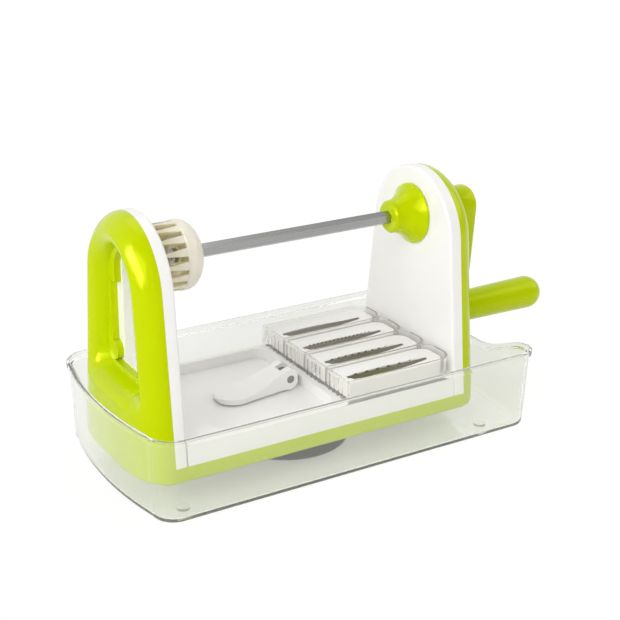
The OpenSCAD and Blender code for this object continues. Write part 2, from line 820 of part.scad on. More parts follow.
// Keyed sleeve: a turned bell, a bearing tube with a clip groove, and a hexagonal bore for the rod
module drive_sleeve() {
    steps = 10;
    bell_run = bell_len - nose_round - bell_lip_t;
    groove_r = sleeve_r - clip_groove;
    groove_x = clip_x + clip_t + slide_clear;
    bell = [for (k = [0:steps])
        let (u = k / steps)
        [nose_r + (bell_r - nose_r) * pow(u, 2), bell_nose_x + nose_round + bell_run * u]];
    color(lime) difference() {
        on_axis(0) rotate_extrude() polygon(concat(
            [[0, bell_nose_x], [nose_r - nose_round, bell_nose_x]],
            bell,
            [[bell_r, bell_face_x], [sleeve_r, bell_face_x], [sleeve_r, clip_x]],
            [[groove_r, clip_x], [groove_r, groove_x]],
            [[sleeve_r, groove_x], [sleeve_r, sleeve_end_x], [0, sleeve_end_x]]));
        hex_along(bell_nose_x - cut, sleeve_end_x + cut, slide_clear);
    }
}

module sleeve_retainer() {
    gap_half_w = sleeve_r * 0.55;
    color(steel) difference() {
        on_axis(clip_x + slide_clear / 2) cylinder(r = clip_r, h = clip_t);
        on_axis(clip_x - cut) cylinder(r = sleeve_r - clip_groove + press_clear, h = clip_t + 2 * cut);
        translate([clip_x - cut, -gap_half_w, axis_z]) cube([clip_t + 2 * cut, 2 * gap_half_w, 2 * clip_r]);
    }
}

module rod() {
    hole_r = screw_shank_r + press_clear;
    hole_l = screw_len + end_clear;
    color(steel) difference() {
        hex_along(rod_left_x, rod_right_x, 0);
        on_axis(rod_left_x - cut) cylinder(r = hole_r, h = hole_l + cut);
        on_axis(rod_right_x - hole_l) cylinder(r = hole_r, h = hole_l + cut);
    }
}

// Dome of revolution about the rod's axis: an ellipse from its skirt to a flat as wide as the hub
module dome(radius, start_x, length) {
    last = acos(hub_r / radius);
    on_axis(0) rotate_extrude() polygon(concat(
        [[0, start_x], [radius - tooth_inset, start_x], [radius, start_x + tooth_inset]],
        [for (k = [0:turn_steps])
            let (a = last * k / turn_steps)
            [radius * cos(a), dome_x + length * sin(a) / sin(last)]],
        [[0, dome_x + length]]));
}

// Ring that the holder's teeth are cut from, thinner at the tips
module tooth_ring() {
    out_r = holder_r - tooth_inset;
    on_axis(0) rotate_extrude() polygon([
        [out_r - tooth_tip_t, tooth_tip_x], [out_r, tooth_tip_x], [out_r, dome_x],
        [out_r - tooth_t, dome_x], [out_r - tooth_t, tooth_root_x]]);
}

// Hollow cap with a hub for the rod and a ring of wedge teeth that run into its skirt as ribs
module food_holder() {
    wedge = [
        [tooth_tip_x - cut, -tooth_tip_w / 2], [tooth_root_x, -tooth_w / 2], [dome_x, -tooth_w / 2],
        [dome_x, tooth_w / 2], [tooth_root_x, tooth_w / 2], [tooth_tip_x - cut, tooth_tip_w / 2]];
    color(cream) difference() {
        union() {
            difference() {
                dome(holder_r, tooth_root_x, dome_len);
                dome(holder_r - holder_wall, tooth_root_x - cut, dome_len - holder_wall);
            }
            on_axis(hub_x) cylinder(r = hub_r, h = holder_back_x - hub_x);
            intersection() {
                tooth_ring();
                for (k = [0:tooth_count - 1])
                    translate([0, 0, axis_z]) rotate([360 * k / tooth_count, 0, 0])
                        linear_extrude(2 * holder_r) polygon(wedge);
            }
        }
        on_axis(hub_x - cut) cylinder(r = screw_hole_r, h = seat_t + 2 * cut);
        hex_along(rod_left_x - press_clear, holder_back_x + cut, press_clear);
    }
}

module holder_screw() {
    color(steel) on_axis(hub_x - screw_head_t) mirror([0, 0, 1])
        screw(screw_head_r, screw_head_t, screw_shank_r, screw_len);
}

// One end of the crank arm: a disc with softened edges
module arm_end(radius, thickness, z) {
    on_axis(crank_x + arm_soft, z) cylinder(r = radius, h = thickness - 2 * arm_soft, $fn = 48);
    on_axis(crank_x, z) cylinder(r = radius - arm_soft / 2, h = thickness, $fn = 48);
}

// Crank arm: two round ends in one softened blank, with a socket for the rod and one for the axle
module crank_arm() {
    head_x = rod_right_x + seat_t / 2;
    color(lime) difference() {
        hull() {
            arm_end(crank_boss_r, crank_boss_t, axis_z);
            arm_end(crank_end_r, crank_end_t, grip_z);
        }
        hex_along(crank_x - cut, rod_right_x + press_clear, press_clear);
        on_axis(rod_right_x) cylinder(r = screw_hole_r, h = crank_boss_t);
        on_axis(head_x) cylinder(r = screw_head_r + loose_clear, h = crank_boss_t);
        on_axis(axle_x, grip_z) cylinder(r = axle_r + press_clear, h = crank_end_t);
    }
}

module crank_screw() {
    color(steel) on_axis(rod_right_x + seat_t / 2 + screw_head_t)
        screw(screw_head_r, screw_head_t, screw_shank_r, screw_len);
}

module handle_axle() {
    color(steel) {
        on_axis(axle_x, grip_z) cylinder(r = axle_r, h = axle_end_x - axle_x);
        on_axis(axle_end_x - axle_head_t, grip_z) cylinder(r = axle_head_r, h = axle_head_t);
    }
}

// Turned grip that swells to a round end, with a bearing bore and a chamber for the axle's head
module crank_grip() {
    body_len = grip_len - grip_end_r;
    chamber_x = axle_end_x - axle_head_t - end_clear;
    color(lime) difference() {
        on_axis(0, grip_z) rotate_extrude() polygon(concat(
            [[0, grip_x], [grip_r - grip_edge, grip_x], [grip_r, grip_x + grip_edge]],
            [for (a = quarter(turn_steps)) [grip_end_r * cos(a), grip_x + body_len + grip_end_r * sin(a)]]));
        on_axis(grip_x - cut, grip_z) cylinder(r = axle_r + run_clear, h = body_len);
        on_axis(chamber_x, grip_z) cylinder(r = axle_head_r + loose_clear, h = axle_head_t + 2 * end_clear);
    }
}

// Turned cup: a thin skirt under a boss that holds the stem's plate
module suction_cup() {
    rim_r = cup_r - cup_edge_w;
    color(rubber) translate([pin_x, 0]) difference() {
        rotate_extrude() polygon([
            [0, cup_boss_low], [cup_boss_r, cup_boss_low], [rim_r, cup_low], [cup_r, cup_low],
            [cup_r, cup_low + cup_edge_t], [rim_r, cup_low + cup_t],
            [cup_boss_r + plate_t, cup_boss_low + cup_t + cup_edge_t], [cup_boss_r, cup_top], [0, cup_top]]);
        translate([0, 0, plate_z - press_clear])
            cylinder(r = plate_r + press_clear, h = plate_t + 2 * press_clear);
        translate([0, 0, plate_z]) cylinder(r = stem_r + press_clear, h = base_z);
    }
}

// Stem with a plate in the cup and a flat eye for the lever's pin
module suction_stem() {
    flat_z = recess_z - end_clear;
    color(steel) difference() {
        union() {
            translate([pin_x, 0, plate_z]) cylinder(r = plate_r, h = plate_t);
            translate([pin_x, 0, plate_z]) cylinder(r = stem_r, h = pin_z - plate_z);
            across_pin(2 * eye_half_t) cylinder(r = stem_r, h = 2 * eye_half_t);
        }
        for (y = [eye_half_t, -eye_half_t - stem_r])
            translate([pin_x - 2 * stem_r, y, flat_z]) cube([4 * stem_r, stem_r, pin_z]);
        across_pin(2 * stem_r) cylinder(r = pin_r + press_clear, h = 2 * stem_r);
    }
}

module lever_pin() {
    color(steel) across_pin(lever_head_w) cylinder(r = pin_r, h = lever_head_w);
}

// Radius of the lever's cam at a turn from straight down towards the crank, then up to the top
function cam_radius(turn) = cam_r - cam_rise * (turn < 90 ? turn : 180 - turn) / 90;

// Side view of the lever round its pin, in X and Z: a cam with a paddle that leaves it low
module lever_side() {
    paddle_low = end_clear - cam_r;
    paddle_top = paddle_low + paddle_t;
    tip_x = -lever_len;
    tip_round = paddle_t / 3;
    polygon(concat(
        [for (turn = [0:10:180]) cam_radius(turn) * [sin(turn), -cos(turn)]],
        [cam_r * [-sin(40), cos(40)], [tip_x + lever_paddle_w, paddle_top + tip_round]],
        [[tip_x + tip_round, paddle_top], [tip_x, paddle_top - tip_round]],
        [[tip_x, paddle_low + tip_round], [tip_x + tip_round, paddle_low], [-cam_r / 2, paddle_low]]));
}

// Lever: its side view cut to a plan that widens to a round paddle, forked round the stem
module suction_lever() {
    paddle_r = lever_paddle_w / 2;
    paddle_x = paddle_r - lever_len;
    head_half_w = lever_head_w / 2;
    height = 4 * cam_r;
    color(white) difference() {
        intersection() {
            across_pin(2 * lever_paddle_w) linear_extrude(2 * lever_paddle_w) lever_side();
            translate([pin_x, 0, pin_z - height / 2]) linear_extrude(height) {
                polygon([
                    [2 * cam_r, -head_half_w], [2 * cam_r, head_half_w], [-cam_r, head_half_w],
                    [paddle_x, paddle_r], [paddle_x, -paddle_r], [-cam_r, -head_half_w]]);
                translate([paddle_x, 0]) circle(paddle_r);
            }
        }
        translate([pin_x - stem_r - 2 * end_clear, -fork_half_w, pin_z - height / 2])
            cube([height, 2 * fork_half_w, height]);
        across_pin(2 * lever_head_w) cylinder(r = pin_r + run_clear, h = 2 * lever_head_w);
    }
}

tray();
base_pan();
bed_plate();
blade_tower_face();
blade_tower_shell();
drive_tower_face();
drive_tower_shell();
base_feet();
base_screws();
drive_sleeve();
sleeve_retainer();
rod();
food_holder();
holder_screw();
crank_arm();
crank_screw();
handle_axle();
crank_grip();
suction_cup();
suction_stem();
lever_pin();
suction_lever();
blade_box();
blade_carrier(0);  // blade_carrier_1
blade_carrier(1);  // blade_carrier_2
blade_carrier(2);  // blade_carrier_3
blade_carrier(3);  // blade_carrier_4
blade(0);  // blade_1
blade(1);  // blade_2
blade(2);  // blade_3
blade(3);  // blade_4
comb(1);  // comb_2
comb(2);  // comb_3
comb(3);  // comb_4
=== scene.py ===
"""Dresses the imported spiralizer: clear tray, lime and white mouldings, steel, rubber, and a pale studio."""

import json
import math

import bpy
import numpy as np
from mathutils import Matrix, Vector


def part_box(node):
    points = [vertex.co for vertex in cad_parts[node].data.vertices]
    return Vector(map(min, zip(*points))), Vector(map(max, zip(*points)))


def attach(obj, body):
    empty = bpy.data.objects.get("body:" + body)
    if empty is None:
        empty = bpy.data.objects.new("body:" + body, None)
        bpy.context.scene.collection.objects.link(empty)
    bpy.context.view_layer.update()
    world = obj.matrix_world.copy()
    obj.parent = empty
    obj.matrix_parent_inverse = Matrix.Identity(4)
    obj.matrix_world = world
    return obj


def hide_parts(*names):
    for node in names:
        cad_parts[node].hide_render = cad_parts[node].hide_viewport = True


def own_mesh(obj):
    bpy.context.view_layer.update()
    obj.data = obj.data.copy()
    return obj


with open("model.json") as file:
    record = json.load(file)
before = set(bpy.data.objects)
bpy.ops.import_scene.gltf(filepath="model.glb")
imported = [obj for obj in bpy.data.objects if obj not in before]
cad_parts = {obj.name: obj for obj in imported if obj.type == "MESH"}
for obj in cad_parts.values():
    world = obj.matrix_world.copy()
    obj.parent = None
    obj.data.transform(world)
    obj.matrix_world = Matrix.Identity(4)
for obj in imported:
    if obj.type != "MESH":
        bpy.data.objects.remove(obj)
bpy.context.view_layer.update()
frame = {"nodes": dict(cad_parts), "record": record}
TRAY_LOW, TRAY_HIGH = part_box("tray")
CUP_LOW, CUP_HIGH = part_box("suction_cup")

bl_info = {
    "name": "Spiralizer dressing",
    "version": (1, 0, 0),
    "blender": (4, 5, 0),
    "location": "3D View > Sidebar > Spiralizer",
    "description": "Moulded plastics, steel, rubber and a pale studio for the packed spiralizer",
    "category": "Object",
}

MM = 0.001
LIP = 1.5 * MM

# Finishes: noise in cells per metre, relief in metres
FLOW_CELLS = 22
HOLDER_FLOW_CELLS = 30
MARK_CELLS = 240
MARK_STRETCH = (1, 1, 0.4)
SKIN_CELLS = 2600
SKIN_PEEL = 0.05
SKIN_DEPTH = 0.2 * MM
STEEL_CLOUD_CELLS = 45
LINE_DEPTH = 0.1 * MM
STREAK_CELLS = 30
STREAK_STRETCH = (1, 1, 0.25)
BLOOM_CELLS = 60
RUBBER_CELLS = 1800
PLASTIC_IOR = 1.5
COAT_IOR = 1.49
TRAY_BEND = 1.2
BOX_BEND = 1.25

# Lines of drawn steel across X, Y and Z, in cells per metre
ROD_LINES = (14, 2200, 2200)
BLADE_LINES = (30, 1800, 1800)
SCREW_LINES = (500, 500, 500)
PIN_LINES = (700, 40, 700)

# Food holder, from the tips of its teeth and from its outer radius inwards
HOLDER_TEETH = 17 * MM
HOLDER_DOME = 19 * MM
HOLDER_SKIN = 0.8 * MM
HOLDER_FADE = 1.5 * MM

# Meshes: gaps in metres, angles in degrees
WELD_GAP = 2e-6
FLAT_WITHIN = 0.2
SMOOTH_BELOW = 32
BEVEL_ABOVE = 50
CARRIER_EDGE = 0.8 * MM
TRAY_SHARP = 40
CUP_SHARP = 50

# Points along the tray's outline, and its bosses
END_POINTS = 65
CORNER_POINTS = 17
SIDE_POINTS = 26
ROUND_POINTS = 9
QUARTERS = (0.25, 0.5, 0.75)
BOSS_PROFILE = np.array([[4, 1.9], [4, 2.9], [3.7, 3.2], [0.4, 3.2]]) * MM
BOSS_FROM_SIDE = 15.5 * MM
BOSS_FROM_BLADE_END = 27 * MM
BOSS_FROM_CRANK_END = 36.5 * MM
BOSS_STEPS = 48

# Suction cup
CUP_STEPS = 96
CUP_CURVE_POINTS = 13
CUP_UNDER_CURVE = 1.15
CUP_OVER_CURVE = 1.25
CUP_RIM_WIDTH = 3 * MM
CUP_RIM_HEIGHT = 0.8 * MM
CUP_FILLET = 1.5 * MM
CUP_RIM_INSET = 2.5 * MM
CUP_BOSS_DROP = 1.2 * MM
CUP_BOSS_EDGE = 0.8 * MM
CUP_MIDDLE = 0.5 * MM

# Camera and lamps
SENSOR_WIDTH = 36
CLIP_START = 0.01
CLIP_END = 50
LAMP_AIM = Vector((0.02, 0, 0.07))

# White card that shows in gloss: directions, and where the squares of its half sizes fade out
CARD_MIDDLE = Vector((-0.937, -0.1, 0.333))
CARD_RUN = Vector((0.02, -0.87, -0.49))
CARD_AHEAD = (0.5, 0.6)
CARD_LENGTH = (0.12, 0.17)
CARD_WIDTH = (0.02, 0.035)
BACK_FADE = (-0.3, 0.6)

# Floor: tone, and how much of the white glow the eye, the gloss and the far floor show
FLOOR_TONE = (0.9, 0.9, 0.9)
FLOOR_WHITE = 1.05
FLOOR_NEAR_GLOW = 0.84
FLOOR_FAR_GLOW = 0.16
FLOOR_PASSED_GLOW = 0.45
FLOOR_FAR = (0.5, 1.5)
FLOOR_RINGS = 12
FLOOR_MIDDLE = 0.05
FLOOR_TOP = -1.999
FLOOR_EDGE = -2
FLOOR_STEPS = 64

LIME_NODES = [
    "base_pan", "blade_tower_shell", "drive_tower_shell", "drive_sleeve", "crank_arm", "crank_grip"]
WHITE_NODES = ["bed_plate", "blade_tower_face", "drive_tower_face", "suction_lever"]
CARRIER_NODES = ["blade_carrier_1", "blade_carrier_2", "blade_carrier_3", "blade_carrier_4"]
EDGE_NODES = ["blade_1", "blade_2", "blade_3", "blade_4", "comb_2", "comb_3", "comb_4"]
SCREW_NODES = ["base_screws", "holder_screw", "crank_screw", "sleeve_retainer", "handle_axle"]
PIN_NODES = ["suction_stem", "lever_pin"]


def length(label, text, default):
    """A size in metres that a user may change."""
    return bpy.props.FloatProperty(
        name=label, description=text, default=default, unit="LENGTH", precision=4)


def angle(label, text, degrees):
    """An angle in degrees that a user may change."""
    return bpy.props.FloatProperty(
        name=label, description=text, default=math.radians(degrees), unit="ROTATION")


def amount(label, text, default, unit="NONE"):
    """A number from 0 up that a user may change."""
    return bpy.props.FloatProperty(
        name=label, description=text, default=default, min=0, unit=unit)


def share(label, text, default):
    """A factor from 0 to 1 that a user may change."""
    return bpy.props.FloatProperty(
        name=label, description=text, default=default, min=0, max=1, subtype="FACTOR")


def colour(label, text, default):
    """A linear colour that a user may change."""
    return bpy.props.FloatVectorProperty(
        name=label, description=text, default=default, size=3, min=0, max=1, subtype="COLOR")


class SpiralizerFinishes(bpy.types.PropertyGroup):
    """Colours and gloss of the spiralizer's materials."""

    lime: colour("Lime", "Lime-green moulded plastic", (0.5, 0.615, 0.0))
    lime_sheen: colour("Lime sheen", "Tint of the lime plastic's gloss", (0.85, 0.95, 0.06))
    white: colour("White", "White moulded plastic", (0.9, 0.89, 0.865))
    ivory: colour("Ivory", "Food holder's ivory plastic", (0.83, 0.785, 0.655))
    # Painted shade: a darker tone painted in the food holder's hollow and on its teeth towards their tips,
    # where shade falls
    ivory_painted_shade: colour(
        "Ivory inside", "Inside of the food holder and the flanks of its teeth", (0.72, 0.64, 0.37))
    steel: colour("Steel", "Rod and screws", (0.38, 0.38, 0.375))
    # Blade steel darkened and browned past the steel's own tone, so that it carries painted shade of the
    # carriers' slots as well
    blade_steel_and_shade: colour("Blade steel", "Blades and combs", (0.2, 0.186, 0.15))
    dull: colour("Dull steel", "Lever pin and stem", (0.3, 0.3, 0.31))
    rubber: colour("Rubber", "Suction cup and feet", (0.07, 0.075, 0.072))
    clear: colour("Clear", "Clear plastic of the tray", (0.965, 0.97, 0.945))
    box: colour("Clear box", "Clear plastic of the blade box", (0.95, 0.945, 0.93))
    gloss: share("Gloss", "Roughness of the moulded plastics", 0.14)
    tray_haze: share("Tray haze", "Share of the tray's light that its plastic scatters", 0.06)
    box_haze: share("Box haze", "Share of the blade box's light that its plastic scatters", 0.14)


class SpiralizerTray(bpy.types.PropertyGroup):
    """Sizes of the clear catch tray."""

    left: length("Blade end", "From the middle to the blade end, at the rim", -TRAY_LOW.x - LIP)
    right: length("Crank end", "From the middle to the crank end, at the rim", TRAY_HIGH.x - LIP)
    half_width: length("Half width", "From the middle to a long side, at the rim", TRAY_HIGH.y - LIP)
    height: length("Height", "Height of the rim", TRAY_HIGH.z)
    wall: length("Wall", "Thickness of wall and floor", 2 * MM)
    draft: length("Draft", "How far the walls lean in from rim to floor", 2 * MM)
    blade_corner: length("Blade corner", "Corner radius at the blade end", 16 * MM)
    crank_corner: length("Crank corner", "Corner radius at the crank end", 11.5 * MM)
    bow: length("Bow", "How far the two ends bow out", 6 * MM)
    floor_round: length("Floor rounding", "Rounding between wall and floor", 4 * MM)
    lip_width: length("Lip width", "How far the lip stands out", LIP)
    lip_height: length("Lip height", "Height of the lip", 4.2 * MM)
    lip_wall: length("Lip wall", "Thickness of the lip's top", 1.4 * MM)
    lip_edge: length("Lip edge", "Softened edge of the lip", 0.7 * MM)
    dip_depth: length("Dip depth", "How deep the rim dips at the crank end", 18.4 * MM)
    dip_flat: length("Dip flat", "Half width of the flat at the dip's foot", 4 * MM)
    dip_half_width: length("Dip half width", "Half width of the dip", 66 * MM)


class SpiralizerCup(bpy.types.PropertyGroup):
    """Sizes of the rubber suction cup."""

    radius: length("Radius", "Outer radius of the skirt", CUP_HIGH.x)
    boss: length("Boss", "Radius of the boss round the stem", 12.8 * MM)
    stem: length("Stem", "Radius of the hole for the stem", 4.03 * MM)
    plate: length("Plate", "Radius of the pocket for the stem's plate", 8.83 * MM)
    skirt: length("Skirt", "Thickness of the skirt", 2.4 * MM)
    roof: length("Roof", "Thickness of the cup above the stem's plate", 1.15 * MM)
    pocket: length("Pocket", "Height of the pocket for the stem's plate", 2.7 * MM)
    floor: length("Floor", "Thickness of the cup below the stem's plate", 2.65 * MM)


class SpiralizerStudio(bpy.types.PropertyGroup):
    """Camera, light and floor."""

    place: bpy.props.FloatVectorProperty(
        name="Camera", description="Place of the camera", default=(-0.38, -0.6457, 0.3823),
        size=3, subtype="TRANSLATION", unit="LENGTH")
    yaw: angle("Yaw", "Turn of the camera from +Y towards +X", 31.66)
    pitch: angle("Pitch", "Tilt of the camera below the horizon", 21.72)
    roll: angle("Roll", "Turn of the camera about its view", -0.78)
    lens: amount("Lens", "Focal length on a 36 mm sensor", 77.0, "CAMERA")
    ambient: amount("Ambient", "Strength of the room's even light", 0.62)
    dark_side: amount("Dark side", "How bright the room behind the camera shows in gloss", 0.42)
    key: amount("Key", "Power of the key light", 11.0, "POWER")
    strip: amount("Strip", "Power of the upright strip light", 0.6, "POWER")
    fill: amount("Fill", "Power of each of the two fill lights", 3.0, "POWER")
    card: amount("Card", "Brightness of the white card that shows in gloss", 24.0)
    floor_radius: length("Floor", "Radius of the pale floor", 4.0)


class Number:
    """A number on a node socket. Python's arithmetic on it adds Math nodes."""

    def __init__(self, finish, socket):
        self.finish = finish
        self.socket = socket

    def combine(self, operation, first, second):
        """A Math node on two numbers."""
        node = self.finish.node("ShaderNodeMath", {"operation": operation}, {0: first, 1: second})
        return Number(self.finish, node.outputs[0])

    def __add__(self, other):
        return self.combine("ADD", self, other)

    def __sub__(self, other):
        return self.combine("SUBTRACT", self, other)

    def __rsub__(self, other):
        return self.combine("SUBTRACT", other, self)

    def __mul__(self, other):
        return self.combine("MULTIPLY", self, other)

    def __pow__(self, other):
        return self.combine("POWER", self, other)

    def rise(self, low, high):
        """0 below low and 1 above high, with a smooth climb between them."""
        node = self.finish.node(
            "ShaderNodeMapRange", {"interpolation_type": "SMOOTHSTEP"},
            {"Value": self, "From Min": low, "From Max": high})
        return Number(self.finish, node.outputs[0])

    __radd__ = __add__
    __rmul__ = __mul__


class Finish:
    """A node tree that is being written: a material's own, or the world's."""

    def __init__(self, tree):
        self.tree = tree
        tree.nodes.clear()

    def node(self, kind, settings=None, inputs=None):
        """Adds a node of that type: its settings first, then the values or links of its sockets."""
        node = self.tree.nodes.new(kind)
        for key, value in (settings or {}).items():
            setattr(node, key, value)
        for key, value in (inputs or {}).items():
            self.feed(node.inputs[key], value)
        return node

    def feed(self, socket, value):
        """Links a number or a socket, or sets a plain value."""
        if isinstance(value, Number):
            value = value.socket
        if isinstance(value, bpy.types.NodeSocket):
            self.tree.links.new(value, socket)
        else:
            socket.default_value = value

    def number(self, node, output=0):
        """A node's output as a number."""
        return Number(self, node.outputs[output])

    def noise(self, scale, detail, stretch=(1, 1, 1)):
        """Noise from 0 to 1 on the piece's own coordinates, in cells per metre times stretch."""
        place = self.node("ShaderNodeTexCoord").outputs["Object"]
        turned = self.node("ShaderNodeMapping", None, {"Vector": place, "Scale": stretch})
        grain = self.node(
            "ShaderNodeTexNoise", None,
            {"Vector": turned.outputs[0], "Scale": scale, "Detail": detail})
        return self.number(grain)

    def blend(self, factor, first, second):
        """A colour from first to second as factor goes from 0 to 1."""
        mix = self.node(
            "ShaderNodeMix", {"data_type": "RGBA"},
            {"Factor": factor, "A": (*first, 1), "B": (*second, 1)})
        return mix.outputs["Result"]

    def relief(self, height, strength, distance):
        """A bump from a height in parts of distance."""
        bump = self.node(
            "ShaderNodeBump", None, {"Height": height, "Strength": strength, "Distance": distance})
        return bump.outputs[0]

    def skin(self):
        """The fine peel of a moulded skin."""
        return self.relief(self.noise(SKIN_CELLS, 1), SKIN_PEEL, SKIN_DEPTH)

    def rays(self, *names):
        """1 for a ray of any of these kinds."""
        path = self.node("ShaderNodeLightPath")
        other = 1.0
        for name in names:
            other = other * (1 - self.number(path, name))
        return 1 - other

    def along(self, way, axis):
        """How far the direction points along an axis."""
        dot = self.node("ShaderNodeVectorMath", {"operation": "DOT_PRODUCT"}, {0: way, 1: axis})
        return self.number(dot, "Value")


def shaded(colour_value, factor):
    """The colour times a factor, held to 1."""
    return tuple(min(1.0, channel * factor) for channel in colour_value)


def new_finish(name):
    """A new material with an empty tree, and the writer of its tree."""
    material = bpy.data.materials.new(name)
    material.use_nodes = True
    return material, Finish(material.node_tree)


def surface(finish, inputs):
    """The material's one shader, a Principled BSDF with these sockets, put on the output."""
    shader = finish.node("ShaderNodeBsdfPrincipled", None, inputs)
    finish.node("ShaderNodeOutputMaterial", None, {"Surface": shader.outputs[0]})


def moulded(name, tone, gloss, drift=0.05, tint=(1, 1, 1)):
    """Moulded plastic with a fine peel in its skin.

    The tone drifts a little over some centimetres, and flow marks vary the gloss.
    """
    material, finish = new_finish(name)
    flow = finish.noise(FLOW_CELLS, 3)
    marks = finish.noise(MARK_CELLS, 4, MARK_STRETCH)
    surface(finish, {
        "Base Color": finish.blend(flow, shaded(tone, 1 - drift), shaded(tone, 1 + drift)),
        "Roughness": gloss - 0.05 + 0.08 * marks + 0.04 * flow,
        "Normal": finish.skin(),
        "IOR": PLASTIC_IOR,
        "Specular Tint": (*tint, 1),
    })
    return material


def holder_plastic(name, tone, inside, gloss):
    """Ivory plastic with painted shade: the hollow turns to a darker shade tone within the outer skin.

    The distance from the rod's axis comes from the piece's own coordinates, squared and summed.
    Along the rod the teeth carry painted shade, turning about half way to the shade tone from their
    roots to their tips, and all of the dome has the outer tone.
    """
    material, finish = new_finish(name)
    low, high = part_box("food_holder")
    axis_y = (low.y + high.y) / 2
    axis_z = (low.z + high.z) / 2
    radius = (high.z - low.z) / 2
    place = finish.node("ShaderNodeTexCoord").outputs["Object"]
    split = finish.node("ShaderNodeSeparateXYZ", None, {0: place})
    away = (finish.number(split, "Y") - axis_y) ** 2.0 + (finish.number(split, "Z") - axis_z) ** 2.0
    ahead = finish.number(split, "X") - low.x
    dome = ahead.rise(HOLDER_TEETH, HOLDER_DOME)
    outside = away.rise((radius - HOLDER_FADE) ** 2, (radius - HOLDER_SKIN) ** 2)
    skin = 1 - (1 - outside) * (1 - dome)
    # Painted shade on the teeth: strongest at their tips, fading out towards their roots
    shade_fade_to_root = ahead.rise(0, HOLDER_TEETH)
    flow = finish.noise(HOLDER_FLOW_CELLS, 3)
    marks = finish.noise(MARK_CELLS, 4, MARK_STRETCH)
    surface(finish, {
        # Painted shade: the hollow and the teeth towards their tips take the shade tone, the rest the ivory
        "Base Color": finish.blend(skin * (0.45 + 0.55 * shade_fade_to_root) * (0.92 + 0.16 * flow), inside, tone),
        "Roughness": gloss - 0.05 + 0.1 * marks,
        "Normal": finish.skin(),
        "IOR": PLASTIC_IOR,
    })
    return material


def brushed(name, tone, rough, stretch):
    """Drawn steel: fine lines along one axis set the gloss, the tone and a slight relief."""
    material, finish = new_finish(name)
    lines = finish.noise(1, 3, stretch)
    cloud = finish.noise(STEEL_CLOUD_CELLS, 2)
    surface(finish, {
        "Base Color": finish.blend(lines, shaded(tone, 0.8), shaded(tone, 1.2)),
        "Metallic": 1.0,
        "Roughness": rough - 0.06 + 0.14 * lines + 0.05 * cloud,
        "Normal": finish.relief(lines, 0.08, LINE_DEPTH),
    })
    return material


def clear_plastic(name, tone, haze, bend):
    """Clear plastic: a slightly milky body under a gloss skin with faint flow streaks.

    It bends light less than the real plastic does, which keeps black lines off its edges, and the
    light of lamps and room goes straight through.
    """
    material, finish = new_finish(name)
    streak = finish.noise(STREAK_CELLS, 3, STREAK_STRETCH)
    light = finish.rays("Is Shadow Ray", "Is Diffuse Ray")
    solid = finish.node("ShaderNodeBsdfPrincipled", None, {
        "Base Color": finish.blend(streak, shaded(tone, 0.98), shaded(tone, 1.02)),
        "Roughness": 0.02 + 0.06 * streak,
        "IOR": bend,
        "Transmission Weight": 1 - haze,
        "Coat Weight": 0.5 + 0.25 * streak,
        "Coat Roughness": 0.04,
        "Coat IOR": COAT_IOR,
    })
    passed = finish.node("ShaderNodeBsdfTransparent", None, {"Color": (*tone, 1)})
    mix = finish.node(
        "ShaderNodeMixShader", None, {0: light, 1: solid.outputs[0], 2: passed.outputs[0]})
    finish.node("ShaderNodeOutputMaterial", None, {"Surface": mix.outputs[0]})
    return material


def cup_rubber(name, tone):
    """Rubber: a soft dull skin with a fine grain and a dusty bloom."""
    material, finish = new_finish(name)
    bloom = finish.noise(BLOOM_CELLS, 4)
    grain = finish.noise(RUBBER_CELLS, 2)
    surface(finish, {
        "Base Color": finish.blend(bloom, shaded(tone, 0.8), shaded(tone, 1.5)),
        "Roughness": 0.5 + 0.2 * bloom,
        "Normal": finish.relief(grain, 0.15, SKIN_DEPTH),
    })
    return material


def softening():
    """Geometry nodes that close a node's loose triangles and smooth all but its real edges."""
    name = "soft_edges"
    if name in bpy.data.node_groups:
        return bpy.data.node_groups[name]
    group = bpy.data.node_groups.new(name, "GeometryNodeTree")
    group.interface.new_socket("Geometry", in_out="INPUT", socket_type="NodeSocketGeometry")
    group.interface.new_socket("Geometry", in_out="OUTPUT", socket_type="NodeSocketGeometry")
    tree = Finish(group)
    start = tree.node("NodeGroupInput")
    closed = tree.node(
        "GeometryNodeMergeByDistance", None, {"Geometry": start.outputs[0], "Distance": WELD_GAP})
    smooth = tree.node("GeometryNodeSetShadeSmooth", {"domain": "FACE"}, {"Geometry": closed.outputs[0]})
    crease = tree.node("GeometryNodeInputMeshEdgeAngle")
    sharp = tree.node(
        "FunctionNodeCompare", {"data_type": "FLOAT", "operation": "GREATER_THAN"},
        {"A": crease.outputs[0], "B": math.radians(SMOOTH_BELOW)})
    edged = tree.node(
        "GeometryNodeSetShadeSmooth", {"domain": "EDGE"},
        {"Geometry": smooth.outputs[0], "Selection": sharp.outputs[0], "Shade Smooth": False})
    tree.node("NodeGroupOutput", None, {0: edged.outputs[0]})
    return group


def dress(names, material, edge=0.0):
    """Puts a material on CAD nodes, softens their edges where edge is given, and smooths their shading."""
    for name in names:
        piece = frame["nodes"][name]
        if not piece.material_slots:
            piece.data.materials.append(material)
        for slot in piece.material_slots:
            slot.material = material
        if edge:
            weld = piece.modifiers.new("closed", "WELD")
            weld.merge_threshold = WELD_GAP
            flat = piece.modifiers.new("flat_faces", "DECIMATE")
            flat.decimate_type = "DISSOLVE"
            flat.angle_limit = math.radians(FLAT_WITHIN)
            soft = piece.modifiers.new("soft_edge", "BEVEL")
            soft.width = edge
            soft.segments = 2
            soft.limit_method = "ANGLE"
            soft.angle_limit = math.radians(BEVEL_ABOVE)
        piece.modifiers.new("soft_shading", "NODES").node_group = softening()
        even = piece.modifiers.new("even_shading", "WEIGHTED_NORMAL")
        even.keep_sharp = True


